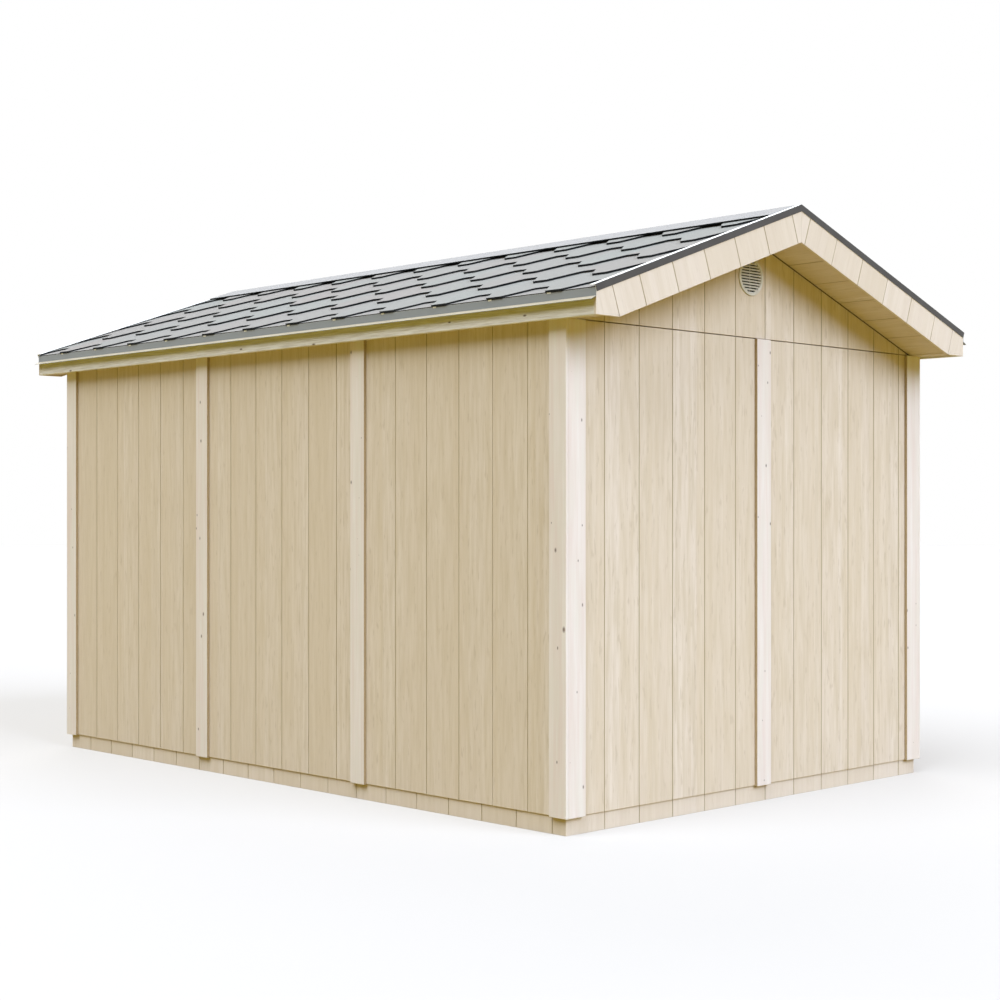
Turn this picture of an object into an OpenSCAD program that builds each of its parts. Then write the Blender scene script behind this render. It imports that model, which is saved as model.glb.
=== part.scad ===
// Wooden garden shed: grooved sheet siding on stud frames, batten trims, a low gable roof
// with light grey shingles, metal edge flashings and a round louvred vent in each gable.
// Origin: centre of the footprint at ground level. +Y runs along the ridge, +Z is up.
// "Left" is the -X long side, "front" is the -Y gable end.

/* [Floor] */
// Length of the floor over the skirt boards, along the ridge
body_l = 3720; // [3000:10:4600]
// Width of the floor over the skirt boards, across the gable
body_w = 2380; // [2000:10:2800]
// Height of the skirt boards and of the joists behind them
skirt_h = 72; // [60:1:120]
// Thickness of the floor deck
floor_t = 18; // [12:1:25]

/* [Walls] */
// Thickness of the grooved siding sheets
siding_t = 15; // [12:1:18]
// How far the siding face stands out past the skirt face
siding_lip = 7; // [3:1:12]
// Full width of one siding sheet
sheet_w = 1219; // [1000:1:1250]
// Gap left between neighbouring sheets
sheet_gap = 3; // [2:1:6]
// Height of the level soffits, of the tops of the trims and of the seam across the gable
soffit_z = 2004; // [1998:1:2020]
// Width of the studs, plates, joists and rafters
timber_w = 45; // [38:1:50]
// Depth of the wall studs, through the wall
stud_d = 70; // [63:1:95]

/* [Trim] */
// Width of the corner boards and battens
trim_w = 95; // [80:1:110]
// Thickness of the corner boards and battens
trim_t = 15; // [12:1:20]
// How far the trim hangs below the siding
trim_drop = 3; // [0:1:10]

/* [Roof] */
// Slope of the roof, degrees
pitch = 19.7; // [16:0.1:24]
// Height of the top of the roof deck at the ridge
ridge_z = 2548; // [2500:1:2600]
// Depth of the rafters, square to the slope
rafter_d = 70; // [60:1:90]
// Thickness of the roof deck
deck_t = 12; // [9:1:15]
// Thickness of the shingle covering
cover_t = 10; // [8:1:14]
// How far the barge boards stand out past the skirt face at each gable
gable_reach = 230; // [180:1:300]
// How far the fascias stand out past the skirt face at each eave
eave_reach = 71; // [60:1:120]
// Height of the underside of the fascias and barge boards
eave_z = 1996; // [1980:1:1997]
// Thickness of the fascias
fascia_t = 20; // [15:1:25]
// Thickness of the barge boards and rake soffits
barge_t = 12; // [12:1:18]
// Width of the metal flashings where they lie on the roof
flange_w = 42; // [30:1:80]
// Thickness of the metal flashings
metal_t = 1.5; // [1:0.5:3]
// Width of each wing of the ridge cap
cap_w = 190; // [120:5:240]
// Thickness of the ridge cap
cap_t = 5; // [3:1:8]

/* [Vents] */
// Outer diameter of the gable vents
vent_d = 164; // [120:2:200]
// Height of the centre of the gable vents
vent_z = 2270; // [2240:1:2280]

/* [Hidden] */

half_w = body_w / 2;
half_l = body_l / 2;

// Planes of the walls, measured from the centre of the building
siding_x = half_w + siding_lip;
siding_y = half_l + siding_lip;
frame_x = siding_x - siding_t;
frame_y = siding_y - siding_t;
trim_x = siding_x + trim_t;
trim_y = siding_y + trim_t;
room_z = skirt_h + floor_t;

// Planes of the roof's edges
eave_x = half_w + eave_reach;
rake_y = half_l + gable_reach;
fascia_x = eave_x - fascia_t;
barge_y = rake_y - barge_t;

// Drops below the top of the deck, square to the slope
rafter_drop = deck_t + rafter_d;
soffit_drop = 113;
barge_drop = 138;

// The wall plates rise this far into the rafters, as the level seat that each rafter sits on
seat_rise = 17;
// The side siding stops this far below the rafters
rafter_clear = 3;
// Thickness of the level soffits
eave_soffit_t = 12;

// Height of a line that lies `drop` below the deck's top face, at `x` from the ridge
function roof_z(x, drop) = ridge_z - abs(x) * tan(pitch) - drop / cos(pitch);
// Distance from the ridge at which that line is at height `z`
function roof_x(z, drop) = (ridge_z - drop / cos(pitch) - z) / tan(pitch);

plate_z = roof_z(frame_x, rafter_drop) + seat_rise;
side_top = roof_z(siding_x, rafter_drop) - rafter_clear;

// The vents sit a little to one side of the ridge, in a hole that the rim covers
vent_x = -66;
vent_rim_w = 11;
vent_hole_d = vent_d - 2 * vent_rim_w;

// Timber colours
siding_colour = "#e3d6c4";
trim_colour = "#ece5dc";
timber_colour = "#c9b083";
metal_colour = "#8a9090";
shingle_colour = "#c6cbc9";

// Extrudes an outline drawn in X and Z along Y
module along_y(y0, y1) {
    translate([0, y1, 0]) rotate([90, 0, 0]) linear_extrude(y1 - y0) children();
}

// A box between two opposite corners
module block(low, high) {
    translate(low) cube(high - low);
}

// A layer of the roof on the +X side, between two drops and two distances from the ridge
module roof_layer(x0, x1, top_drop, bottom_drop) {
    polygon([[x0, roof_z(x0, top_drop)], [x1, roof_z(x1, top_drop)],
             [x1, roof_z(x1, bottom_drop)], [x0, roof_z(x0, bottom_drop)]]);
}

// Turns a piece made for the +X side or the +Y end over to the -X side or the -Y end
module to_left() mirror([1, 0, 0]) children();
module to_front() mirror([0, 1, 0]) children();

// ---------- Floor ----------

rim_x = half_w - siding_t;
rim_y = half_l - siding_t;
stud_bays = 9;
stud_pitch = (2 * frame_y - timber_w) / stud_bays;

// Joists across the building, one at each gable and the rest evenly between
module floor_joists() color(timber_colour) {
    joist_pitch = (2 * rim_y - timber_w) / stud_bays;
    for (i = [0 : stud_bays])
        translate([-rim_x, i * joist_pitch - rim_y, 0])
            cube([2 * rim_x, timber_w, skirt_h]);
}

module floor_deck() color(timber_colour)
    block([-frame_x, -frame_y, skirt_h], [frame_x, frame_y, room_z]);

// The long skirts run the whole length and lap the ends of the gable skirts
module side_skirt() color(siding_colour)
    block([rim_x, -half_l, 0], [half_w, half_l, skirt_h]);

module gable_skirt() color(siding_colour)
    block([-rim_x, rim_y, 0], [rim_x, half_l, skirt_h]);

// ---------- Wall frames ----------

// A stud frame between two ends, built along Y at x = 0: two plates and the studs between
module stud_frame(length, bays, top) {
    step = (length - timber_w) / bays;
    for (z = [room_z, top - timber_w])
        translate([0, -length / 2, z]) cube([stud_d, length, timber_w]);
    for (i = [0 : bays])
        translate([0, i * step - length / 2, room_z + timber_w])
            cube([stud_d, timber_w, top - room_z - 2 * timber_w]);
}

module side_wall_frame() color(timber_colour)
    translate([frame_x - stud_d, 0, 0]) stud_frame(2 * frame_y, stud_bays, plate_z);

// The gable frames stand between the side frames. A post beside the vent backs the joint
// between the upper sheets.
gable_bays = 5;
gable_frame_w = 2 * (frame_x - stud_d);
post_clear = 3;
gable_post_x = vent_x + (vent_hole_d + timber_w) / 2 + post_clear;

module gable_wall_frame() color(timber_colour) {
    translate([0, frame_y, 0]) rotate([0, 0, -90])
        stud_frame(gable_frame_w, gable_bays, plate_z);
    block([gable_post_x - timber_w / 2, frame_y - timber_w, plate_z],
          [gable_post_x + timber_w / 2, frame_y, roof_z(gable_post_x + timber_w / 2, rafter_drop)]);
}

// ---------- Siding ----------

// Left and right edges of sheet number i along a wall from `start` to `stop`
function sheet_from(start, i) = start + i * (sheet_w + sheet_gap);
function sheet_to(start, stop, i) = min(sheet_from(start, i) + sheet_w, stop);
function sheet_count(start, stop) = ceil((stop - start) / (sheet_w + sheet_gap));

// Sheets of a long wall, from the front corner to the back one
module side_siding() color(siding_colour)
    for (i = [0 : sheet_count(-frame_y, frame_y) - 1])
        block([frame_x, sheet_from(-frame_y, i), skirt_h],
              [siding_x, sheet_to(-frame_y, frame_y, i), side_top]);

// Sheets of a gable: full sheets up to the seam, and offcuts above it up to the roof deck
module gable_siding() color(siding_colour) difference() {
    along_y(frame_y, siding_y)
        for (i = [0 : sheet_count(-frame_x, frame_x) - 1]) {
            x0 = sheet_from(-frame_x, i);
            x1 = sheet_to(-frame_x, frame_x, i);
            translate([x0, skirt_h]) square([x1 - x0, soffit_z - skirt_h]);
            intersection() {
                translate([x0, soffit_z + sheet_gap])
                    square([x1 - x0, ridge_z - soffit_z]);
                polygon([[-frame_x, soffit_z], [frame_x, soffit_z],
                         [frame_x, roof_z(frame_x, deck_t)], [0, roof_z(0, deck_t)],
                         [-frame_x, roof_z(frame_x, deck_t)]]);
            }
        }
    translate([vent_x, siding_y, vent_z]) rotate([90, 0, 0])
        cylinder(d = vent_hole_d, h = 3 * siding_t, center = true, $fn = 64);
}

// ---------- Trim ----------

trim_z = skirt_h - trim_drop;

// One back corner: the side board covers the edge of the gable board
module corner_trim() color(trim_colour) {
    block([siding_x, trim_y - trim_w, trim_z], [trim_x, trim_y, soffit_z]);
    block([siding_x - trim_w, siding_y, trim_z], [siding_x, trim_y, soffit_z]);
}

// Battens over the joints between sheets, each a little off the joint
batten_y = [-597, 605];
gable_batten_x = 10;

module side_battens() color(trim_colour)
    for (y = batten_y)
        block([siding_x, y - trim_w / 2, trim_z], [trim_x, y + trim_w / 2, soffit_z]);

module gable_batten() color(trim_colour)
    block([gable_batten_x - trim_w / 2, siding_y, trim_z],
          [gable_batten_x + trim_w / 2, trim_y, soffit_z]);

// ---------- Roof frame and deck ----------

// A rafter, cut plumb at the ridge and behind the fascia, with a level seat on the plate
module rafter_outline() {
    polygon([[0, roof_z(0, deck_t)],
             [fascia_x, roof_z(fascia_x, deck_t)],
             [fascia_x, roof_z(fascia_x, rafter_drop)],
             [frame_x, roof_z(frame_x, rafter_drop)],
             [frame_x, plate_z],
             [roof_x(plate_z, rafter_drop), plate_z],
             [0, roof_z(0, rafter_drop)]]);
}

module rafters() color(timber_colour)
    for (i = [0 : stud_bays]) {
        y = i * stud_pitch - frame_y;
        along_y(y, y + timber_w) rafter_outline();
    }

module roof_deck() color(timber_colour)
    along_y(-rake_y, rake_y) roof_layer(0, eave_x, 0, deck_t);

// ---------- Eaves and rakes ----------

module fascia() color(timber_colour)
    block([fascia_x, -barge_y, eave_z], [eave_x, barge_y, roof_z(eave_x, deck_t)]);

// One half of a barge board, plumb at the ridge and the eave, with a level foot
module barge_board() color(siding_colour)
    along_y(barge_y, rake_y)
        polygon([[0, roof_z(0, deck_t)],
                 [eave_x, roof_z(eave_x, deck_t)],
                 [eave_x, eave_z],
                 [roof_x(eave_z, barge_drop), eave_z],
                 [0, roof_z(0, barge_drop)]]);

// The sloping soffit ends where its underside comes down to the level eave soffit
soffit_foot_x = roof_x(soffit_z, soffit_drop + barge_t);

module rake_soffit() color(siding_colour)
    along_y(siding_y, barge_y)
        roof_layer(0, soffit_foot_x, soffit_drop, soffit_drop + barge_t);

// Level strips behind the fascias, wider where they return under the gable overhangs
module eave_soffits() color(siding_colour)
    for (side = [0, 1]) mirror([side, 0, 0]) {
        block([siding_x, -siding_y, soffit_z], [fascia_x, siding_y, soffit_z + eave_soffit_t]);
        for (end = [0, 1]) mirror([0, end, 0])
            block([soffit_foot_x, siding_y, soffit_z],
                  [fascia_x, barge_y, soffit_z + eave_soffit_t]);
    }

// ---------- Flashings ----------

// Kick-out lip of the drip edge: how far out it reaches and how far below the roof edge
kick_reach = 25;
kick_top_drop = 31;
kick_fall = 13;

// Metal drip edge: a flange under the shingles, a face down the fascia and a kick-out lip
module drip_edge() color(metal_colour) along_y(-rake_y, rake_y) {
    face_x = eave_x + metal_t;
    corner_z = roof_z(face_x, -metal_t);
    roof_layer(eave_x - flange_w, face_x, -metal_t, 0);
    polygon([[eave_x, corner_z - metal_t], [face_x, corner_z - metal_t],
             [face_x, corner_z - kick_top_drop],
             [face_x + kick_reach, corner_z - kick_top_drop - kick_fall],
             [face_x + kick_reach, corner_z - kick_top_drop - kick_fall - metal_t],
             [eave_x, corner_z - kick_top_drop - metal_t]]);
}

// Metal rake flashing: a flange on top of the shingles and a face over the barge board's top.
// The face stands a little above the flange, as a rib that keeps water on the roof.
rake_face_drop = 14;
rake_rib_h = 3;

module rake_flashing() color(metal_colour)
    for (side = [0, 1]) mirror([side, 0, 0]) {
        along_y(rake_y - flange_w, rake_y + metal_t)
            roof_layer(0, eave_x, -cover_t - metal_t, -cover_t);
        along_y(rake_y, rake_y + metal_t)
            roof_layer(0, eave_x, -cover_t - metal_t - rake_rib_h, rake_face_drop);
    }

// ---------- Covering ----------

// The shingles hang this far over the drip edge
shingle_lip = 8;

module shingles() color(shingle_colour) along_y(-rake_y, rake_y) {
    roof_layer(0, eave_x - flange_w, -cover_t, 0);
    roof_layer(eave_x - flange_w, eave_x + shingle_lip, -cover_t, -metal_t);
}

module ridge_cap() color(shingle_colour)
    for (side = [0, 1]) mirror([side, 0, 0])
        along_y(flange_w - rake_y, rake_y - flange_w)
            roof_layer(0, cap_w * cos(pitch), -cover_t - cap_t, -cover_t);

// ---------- Vents ----------

vent_rim_t = 6;
vent_wall_t = 3;
louvre_n = 11;
louvre_t = 3;
louvre_tilt = 45;

// A round vent: a flat rim on the siding, a sleeve through it and tilted louvres inside
module vent() {
    bore_d = vent_hole_d - 2 * vent_wall_t;
    step = bore_d / louvre_n;
    translate([vent_x, siding_y, vent_z]) rotate([-90, 0, 0]) {
        difference() {
            union() {
                cylinder(d = vent_d, h = vent_rim_t, $fn = 64);
                translate([0, 0, -siding_t]) cylinder(d = vent_hole_d, h = siding_t, $fn = 64);
            }
            translate([0, 0, -2 * siding_t])
                cylinder(d = bore_d, h = 4 * siding_t, $fn = 64);
        }
        intersection() {
            translate([0, 0, -siding_t])
                cylinder(d = vent_hole_d - vent_wall_t, h = siding_t + vent_rim_t, $fn = 64);
            for (i = [0 : louvre_n - 1])
                translate([0, (i - (louvre_n - 1) / 2) * step, -vent_rim_t / 2])
                    rotate([louvre_tilt, 0, 0])
                        cube([vent_d, louvre_t, siding_t], center = true);
        }
    }
}

module gable_vents() color("#dcdad4") {
    vent();
    to_front() vent();
}

// ---------- Assembly ----------

floor_joists();
floor_deck();
to_front() gable_skirt();  // front_skirt
gable_skirt();  // back_skirt
to_left() side_skirt();  // left_skirt
side_skirt();  // right_skirt
to_front() gable_wall_frame();  // front_wall_frame
gable_wall_frame();  // back_wall_frame
to_left() side_wall_frame();  // left_wall_frame
side_wall_frame();  // right_wall_frame
to_front() gable_siding();  // front_siding
gable_siding();  // back_siding
to_left() side_siding();  // left_siding
side_siding();  // right_siding
to_front() to_left() corner_trim();  // front_left_corner_trim
to_front() corner_trim();  // front_right_corner_trim
to_left() corner_trim();  // back_left_corner_trim
corner_trim();  // back_right_corner_trim
to_front() gable_batten();  // front_batten
gable_batten();  // back_batten
to_left() side_battens();  // left_battens
side_battens();  // right_battens
to_left() rafters();  // left_rafters
rafters();  // right_rafters
to_left() roof_deck();  // left_roof_deck
roof_deck();  // right_roof_deck
to_left() fascia();  // left_fascia
fascia();  // right_fascia
to_front() to_left() barge_board();  // front_left_barge_board
to_front() barge_board();  // front_right_barge_board
to_left() barge_board();  // back_left_barge_board
barge_board();  // back_right_barge_board
to_front() to_left() rake_soffit();  // front_left_soffit
to_front() rake_soffit();  // front_right_soffit
to_left() rake_soffit();  // back_left_soffit
rake_soffit();  // back_right_soffit
eave_soffits();
to_left() drip_edge();  // left_drip_edge
drip_edge();  // right_drip_edge
to_front() rake_flashing();  // front_rake_flashing
rake_flashing();  // back_rake_flashing
to_left() shingles();  // left_shingles
shingles();  // right_shingles
ridge_cap();
gable_vents();
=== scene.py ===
import math
import random

import bmesh
import bpy
from mathutils import Matrix, Vector


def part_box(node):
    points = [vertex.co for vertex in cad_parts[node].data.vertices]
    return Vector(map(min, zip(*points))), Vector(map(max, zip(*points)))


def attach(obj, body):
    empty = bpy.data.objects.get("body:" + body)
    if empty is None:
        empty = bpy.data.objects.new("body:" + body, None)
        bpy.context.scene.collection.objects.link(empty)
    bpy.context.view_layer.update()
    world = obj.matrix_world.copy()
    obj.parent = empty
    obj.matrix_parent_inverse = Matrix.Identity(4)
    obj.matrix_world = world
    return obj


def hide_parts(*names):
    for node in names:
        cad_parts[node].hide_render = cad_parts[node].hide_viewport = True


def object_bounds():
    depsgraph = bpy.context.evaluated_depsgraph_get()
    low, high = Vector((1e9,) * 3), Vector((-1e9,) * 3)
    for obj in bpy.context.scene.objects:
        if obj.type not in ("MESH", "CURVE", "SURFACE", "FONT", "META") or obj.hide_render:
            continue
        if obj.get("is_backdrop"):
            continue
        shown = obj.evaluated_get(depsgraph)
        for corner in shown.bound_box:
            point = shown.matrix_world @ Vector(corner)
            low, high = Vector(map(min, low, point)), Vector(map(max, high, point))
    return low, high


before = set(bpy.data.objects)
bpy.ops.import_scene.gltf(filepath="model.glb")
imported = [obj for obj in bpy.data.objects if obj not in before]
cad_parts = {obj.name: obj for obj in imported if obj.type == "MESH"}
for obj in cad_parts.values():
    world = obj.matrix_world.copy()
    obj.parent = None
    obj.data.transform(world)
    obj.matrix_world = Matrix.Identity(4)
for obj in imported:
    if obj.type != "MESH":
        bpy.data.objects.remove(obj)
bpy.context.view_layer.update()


# ---------------------------------------------------------------------------------------------
# Floor: softwood joists on the ground and a plywood deck screwed down on them. The joists are
# planed spruce, pale yellow with faint growth lines along each one. The plywood's face veneer
# shows broader, paler figure.
# ---------------------------------------------------------------------------------------------

# Directions of the grain, as turns of a pattern that runs up and down
GRAIN_UP = (0, 0, 0)
GRAIN_ALONG_X = (0, math.radians(90), 0)
GRAIN_ALONG_Y = (math.radians(90), 0, 0)


def linear(colour):
    """A #rrggbb colour as the linear numbers that a shader takes."""
    parts = [int(colour[i:i + 2], 16) / 255 for i in (1, 3, 5)]
    return [p / 12.92 if p <= 0.04045 else ((p + 0.055) / 1.055) ** 2.4 for p in parts] + [1]


def add_node(tree, kind, inputs, **settings):
    """Adds a node to a node tree, sets its settings, and fills or links its inputs."""
    made = tree.nodes.new("ShaderNode" + kind)
    for name, value in settings.items():
        setattr(made, name, value)
    for socket, value in inputs.items():
        if isinstance(value, bpy.types.NodeSocket):
            tree.links.new(value, made.inputs[socket])
        else:
            made.inputs[socket].default_value = value
    return made


def start_material(name):
    """An empty node material, and the point on the piece that its patterns are read at."""
    material = bpy.data.materials.new(name)
    material.use_nodes = True
    material.node_tree.nodes.clear()
    place = add_node(material.node_tree, "TexCoord", {}).outputs["Object"]
    return material, material.node_tree, place


def end_material(tree, shader):
    """Joins the finished shader to the surface of the material."""
    add_node(tree, "OutputMaterial", {"Surface": shader.outputs[0]})


def streaks(tree, place, turn, across, along, detail=2.0):
    """Wood figure as a number from 0 to 1, in streaks of that width and length in metres."""
    board = add_node(tree, "Mapping", {"Vector": place, "Rotation": turn,
                                       "Scale": (across, across, along)}, vector_type="TEXTURE")
    return add_node(tree, "TexNoise", {"Vector": board.outputs[0], "Scale": 1.0, "Detail": detail,
                                       "Roughness": 0.55, "Distortion": 0.15}).outputs[0]


def blend(tree, amount, first, second, way="MIX"):
    """One colour laid over another by an amount from 0 to 1."""
    return add_node(tree, "Mix", {0: amount, 6: first, 7: second},
                    data_type="RGBA", blend_type=way).outputs[2]


def between(tree, value, low, high, least=0.0, most=1.0):
    """Stretches a pattern so that low becomes least and high becomes most."""
    return add_node(tree, "MapRange", {"Value": value, "From Min": low, "From Max": high,
                                       "To Min": least, "To Max": most}).outputs[0]


def planed_spruce(name, turn):
    """Untreated framing timber: growth lines about 6 mm apart, and slow changes of tone."""
    material, tree, place = start_material(name)
    rings = between(tree, streaks(tree, place, turn, 0.006, 0.5), 0.3, 0.7)
    broad = between(tree, streaks(tree, place, turn, 0.06, 0.9), 0.3, 0.7)
    wood = blend(tree, rings, linear("#cdb48a"), linear("#bb9c6b"))
    wood = blend(tree, broad, wood, linear("#d8c39c"))
    bump = add_node(tree, "Bump", {"Height": rings, "Strength": 0.3, "Distance": 0.0004})
    end_material(tree, add_node(tree, "BsdfPrincipled", {
        "Base Color": wood, "Roughness": 0.72, "IOR": 1.5, "Normal": bump.outputs[0]}))
    return material


def raw_plywood(name, turn):
    """Untreated sheathing plywood: wide figure of a peeled veneer, about 40 mm across."""
    material, tree, place = start_material(name)
    figure = between(tree, streaks(tree, place, turn, 0.04, 0.5, 4.0), 0.35, 0.65)
    fine = between(tree, streaks(tree, place, turn, 0.005, 0.2), 0.3, 0.7)
    wood = blend(tree, figure, linear("#cbb48c"), linear("#b99a69"))
    wood = blend(tree, fine, wood, linear("#d2bf9b"))
    bump = add_node(tree, "Bump", {"Height": fine, "Strength": 0.3, "Distance": 0.0004})
    end_material(tree, add_node(tree, "BsdfPrincipled", {
        "Base Color": wood, "Roughness": 0.78, "IOR": 1.5, "Normal": bump.outputs[0]}))
    return material


def finish_node(material, *names):
    """Gives CAD nodes, whose shape is already the real one, their material."""
    for name in names:
        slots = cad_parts[name].data.materials
        slots.clear()
        slots.append(material)


finish_node(planed_spruce("planed_spruce_joist", GRAIN_ALONG_X), "floor_joists")
finish_node(raw_plywood("plywood_floor_deck", GRAIN_ALONG_Y), "floor_deck")


# ---------------------------------------------------------------------------------------------
# Wall frames: spruce studs nailed between a bottom and a top plate. They stand behind the
# siding, and show only from inside.
# ---------------------------------------------------------------------------------------------

finish_node(planed_spruce("planed_spruce_stud", GRAIN_UP),
            "front_wall_frame", "back_wall_frame", "left_wall_frame", "right_wall_frame")


# ---------------------------------------------------------------------------------------------
# Siding: grooved spruce plywood, 15 mm thick, primed in one thin matt coat. A machine cuts the
# grooves 203 mm apart, so that a sheet looks like upright boards. The skirts round the floor
# are strips of the same sheet. Each sheet is nailed to the studs, a little off the next one.
# ---------------------------------------------------------------------------------------------

GROOVE_PITCH = 0.2033
GROOVE_W = 0.004
GROOVE_D = 0.0025
GROOVE_EASE = 0.001
ALIGNED = 0.99  # a face looks in a direction if its normal has this much of it

# The sheets are drawn as those of the front gable: X runs along the wall and -Y points out.
# These matrices turn them to each wall; on the long sides, X becomes the building's Y.
ALONG_SIDE = Matrix(((0, 1, 0, 0), (1, 0, 0, 0), (0, 0, 1, 0), (0, 0, 0, 1)))
TO_RIGHT = Matrix.Diagonal((-1, 1, 1, 1))
TO_BACK = Matrix.Diagonal((1, -1, 1, 1))
WALLS = {"front": Matrix.Identity(4), "back": TO_BACK,
         "left": ALONG_SIDE, "right": TO_RIGHT @ ALONG_SIDE}

# The roof's slope: the tops of the rafters at the ridge and of the fascia lie on one line
rafter_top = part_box("right_rafters")[1]
fascia_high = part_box("right_fascia")[1]
ridge_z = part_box("right_roof_deck")[1].z
pitch = math.atan2(rafter_top.z - fascia_high.z, fascia_high.x)


def board_plane(tree, place, turn, across, along):
    """A flat coordinate in units of that size, for walls that face any way."""
    turned = add_node(tree, "Mapping", {"Vector": place, "Rotation": turn,
                                        "Scale": (across, across, along)}, vector_type="TEXTURE")
    axes = add_node(tree, "SeparateXYZ", {"Vector": turned.outputs[0]}).outputs
    level = add_node(tree, "Math", {0: axes["X"], 1: axes["Y"]}, operation="SUBTRACT")
    return add_node(tree, "CombineXYZ", {"X": level.outputs[0], "Y": axes["Z"]}).outputs[0]


def cells_of(tree, plane):
    """A random number for each cell of a flat coordinate, and the distance from its middle."""
    cells = add_node(tree, "TexVoronoi", {"Vector": plane, "Scale": 1.0},
                     voronoi_dimensions="2D").outputs
    draw = add_node(tree, "SeparateColor", {"Color": cells["Color"]}).outputs["Red"]
    return draw, cells["Distance"]


def primed_plywood(name, turn, figured=1.0):
    """Primed plywood: a matt cream coat, thin enough to show the veneer's long soft figure.

    The veneer is laid in strips about 55 mm wide. The faces in the grooves are drawn darker
    brown, as painted shade.
    """
    material, tree, place = start_material(name)
    broad = between(tree, streaks(tree, place, turn, 0.060, 0.9, 3.0), 0.35, 0.65)
    flame = between(tree, streaks(tree, place, turn, 0.020, 0.28, 4.0), 0.40, 0.68)
    fine = between(tree, streaks(tree, place, turn, 0.004, 0.11), 0.3, 0.7)
    fleck = between(tree, streaks(tree, place, turn, 0.013, 0.08), 0.60, 0.70)
    strip, _ = cells_of(tree, board_plane(tree, place, turn, 0.055, 40.0))
    tone = add_node(tree, "Attribute", {}, attribute_name="board_tone").outputs["Fac"]
    painted_groove_shade = add_node(tree, "Attribute", {}, attribute_name="groove_painted_shade").outputs["Fac"]
    coat = blend(tree, broad, linear("#dfd2c6"), linear("#e4d8cc"))
    for figure, amount, colour in ((flame, 0.85, "#cdbea8"), (fine, 0.35, "#c4b49b"),
                                   (strip, 0.50, "#cebda2"), (fleck, 0.45, "#b7a58c")):
        amount = between(tree, figure, 0.0, 1.0, 0.0, amount * figured)
        coat = blend(tree, amount, coat, linear(colour))
    coat = blend(tree, tone, coat, linear("#cfbfa8"))
    # Painted shade: the faces in the grooves are drawn darker brown
    coat = blend(tree, painted_groove_shade, coat, linear("#bcae92"))
    bump = add_node(tree, "Bump", {"Height": fine, "Strength": 0.25, "Distance": 0.0004})
    end_material(tree, add_node(tree, "BsdfPrincipled", {
        "Base Color": coat, "Roughness": 0.68, "IOR": 1.5, "Normal": bump.outputs[0]}))
    return material


def add_block(bm, low, high):
    """A plain block between two opposite corners."""
    low, high = Vector(low), Vector(high)
    place = Matrix.LocRotScale((low + high) / 2, None, high - low)
    return bmesh.ops.create_cube(bm, size=1, matrix=place)["verts"]


def cut(bm, point, direction):
    """Cuts off all that lies past a point in a direction, and closes the cut."""
    bmesh.ops.bisect_plane(bm, geom=bm.verts[:] + bm.edges[:] + bm.faces[:], dist=1e-6,
                           plane_co=point, plane_no=direction, clear_outer=True)
    bmesh.ops.holes_fill(bm, edges=[e for e in bm.edges if e.is_boundary], sides=0)


def mill_grooves(bm, places, across, outward):
    """Cuts grooves into the faces that look outward: the boards between them are raised."""
    across, outward = Vector(across), Vector(outward)
    for place in places:
        for side in (-0.5, 0.5):
            bmesh.ops.bisect_plane(bm, geom=bm.verts[:] + bm.edges[:] + bm.faces[:], dist=1e-6,
                                   plane_co=across * (place + side * GROOVE_W), plane_no=across)
    bm.normal_update()
    boards = [f for f in bm.faces if f.normal.dot(outward) > ALIGNED and all(
        abs(f.calc_center_median().dot(across) - place) > GROOVE_W / 2 for place in places)]
    raised = bmesh.ops.extrude_discrete_faces(bm, faces=boards)["faces"]
    bmesh.ops.translate(bm, verts=list({v for f in raised for v in f.verts}),
                        vec=outward * GROOVE_D)
    rims = {e for f in raised for e in f.edges}
    bmesh.ops.bevel(bm, geom=list(rims), offset=GROOVE_EASE, offset_type="OFFSET", segments=1,
                    profile=0.5, affect="EDGES", material=-1)


def groove_places(first, low, high, pitch=GROOVE_PITCH):
    """Distances of the grooves from low to high, in steps from the first one."""
    count = math.floor((high - first) / pitch) + 1
    places = [first + i * pitch for i in range(count)]
    return [p for p in places if low + GROOVE_W < p < high - GROOVE_W]


def tone_boards(mesh, places, across, seed):
    """Marks each board of a grooved sheet with a tone of its own, and marks its grooves for
    painted shade.
    """
    draw = random.Random(seed)
    tones = [draw.uniform(0.0, 0.5) for _ in range(len(places) + 1)]
    marks = mesh.attributes.new("board_tone", "FLOAT", "FACE")
    painted_groove_shade = mesh.attributes.new("groove_painted_shade", "FLOAT", "FACE")
    for face in mesh.polygons:
        at = face.center.dot(Vector(across))
        marks.data[face.index].value = tones[sum(p < at for p in places)]
        # Faces in a groove are marked for the painted shade
        painted_groove_shade.data[face.index].value = float(any(
            abs(at - p) < (GROOVE_W + GROOVE_EASE) / 2 for p in places))


def make_piece(name, bm, materials, slot, *nodes):
    """Makes a mesh a piece of the shed, in place of the CAD nodes named."""
    bmesh.ops.recalc_face_normals(bm, faces=bm.faces[:])
    mesh = bpy.data.meshes.new(name)
    bm.to_mesh(mesh)
    bm.free()
    for material in materials:
        mesh.materials.append(material)
    piece = bpy.data.objects.new(name, mesh)
    bpy.context.scene.collection.objects.link(piece)
    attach(piece, "root")
    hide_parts(*nodes)
    return piece


wall_plywood = primed_plywood("primed_plywood_upright", GRAIN_UP)

# Grooves of the long sides and of the gables, and those of the skirts below them
SIDE_FIRST, GABLE_FIRST = -1.857, -1.185
SIDE_SKIRT_FIRST, GABLE_SKIRT_FIRST = -1.785, -0.973

# A sheet is six boards wide, and the next one is 3 mm away, in the middle of a groove
SHEET_W, SHEET_GAP = 6 * GROOVE_PITCH, 0.003


def add_sheets(bm, first, low, high):
    """Plain sheets from one corner of a wall to the other, given where the first groove is."""
    joints = [p for p in groove_places(first, low[0], high[0], SHEET_W) if p > first]
    starts = [low[0]] + [p + SHEET_GAP / 2 for p in joints]
    stops = [p - SHEET_GAP / 2 for p in joints] + [high[0]]
    for start, stop in zip(starts, stops):
        add_block(bm, (start, *low[1:]), (stop, *high[1:]))


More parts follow.
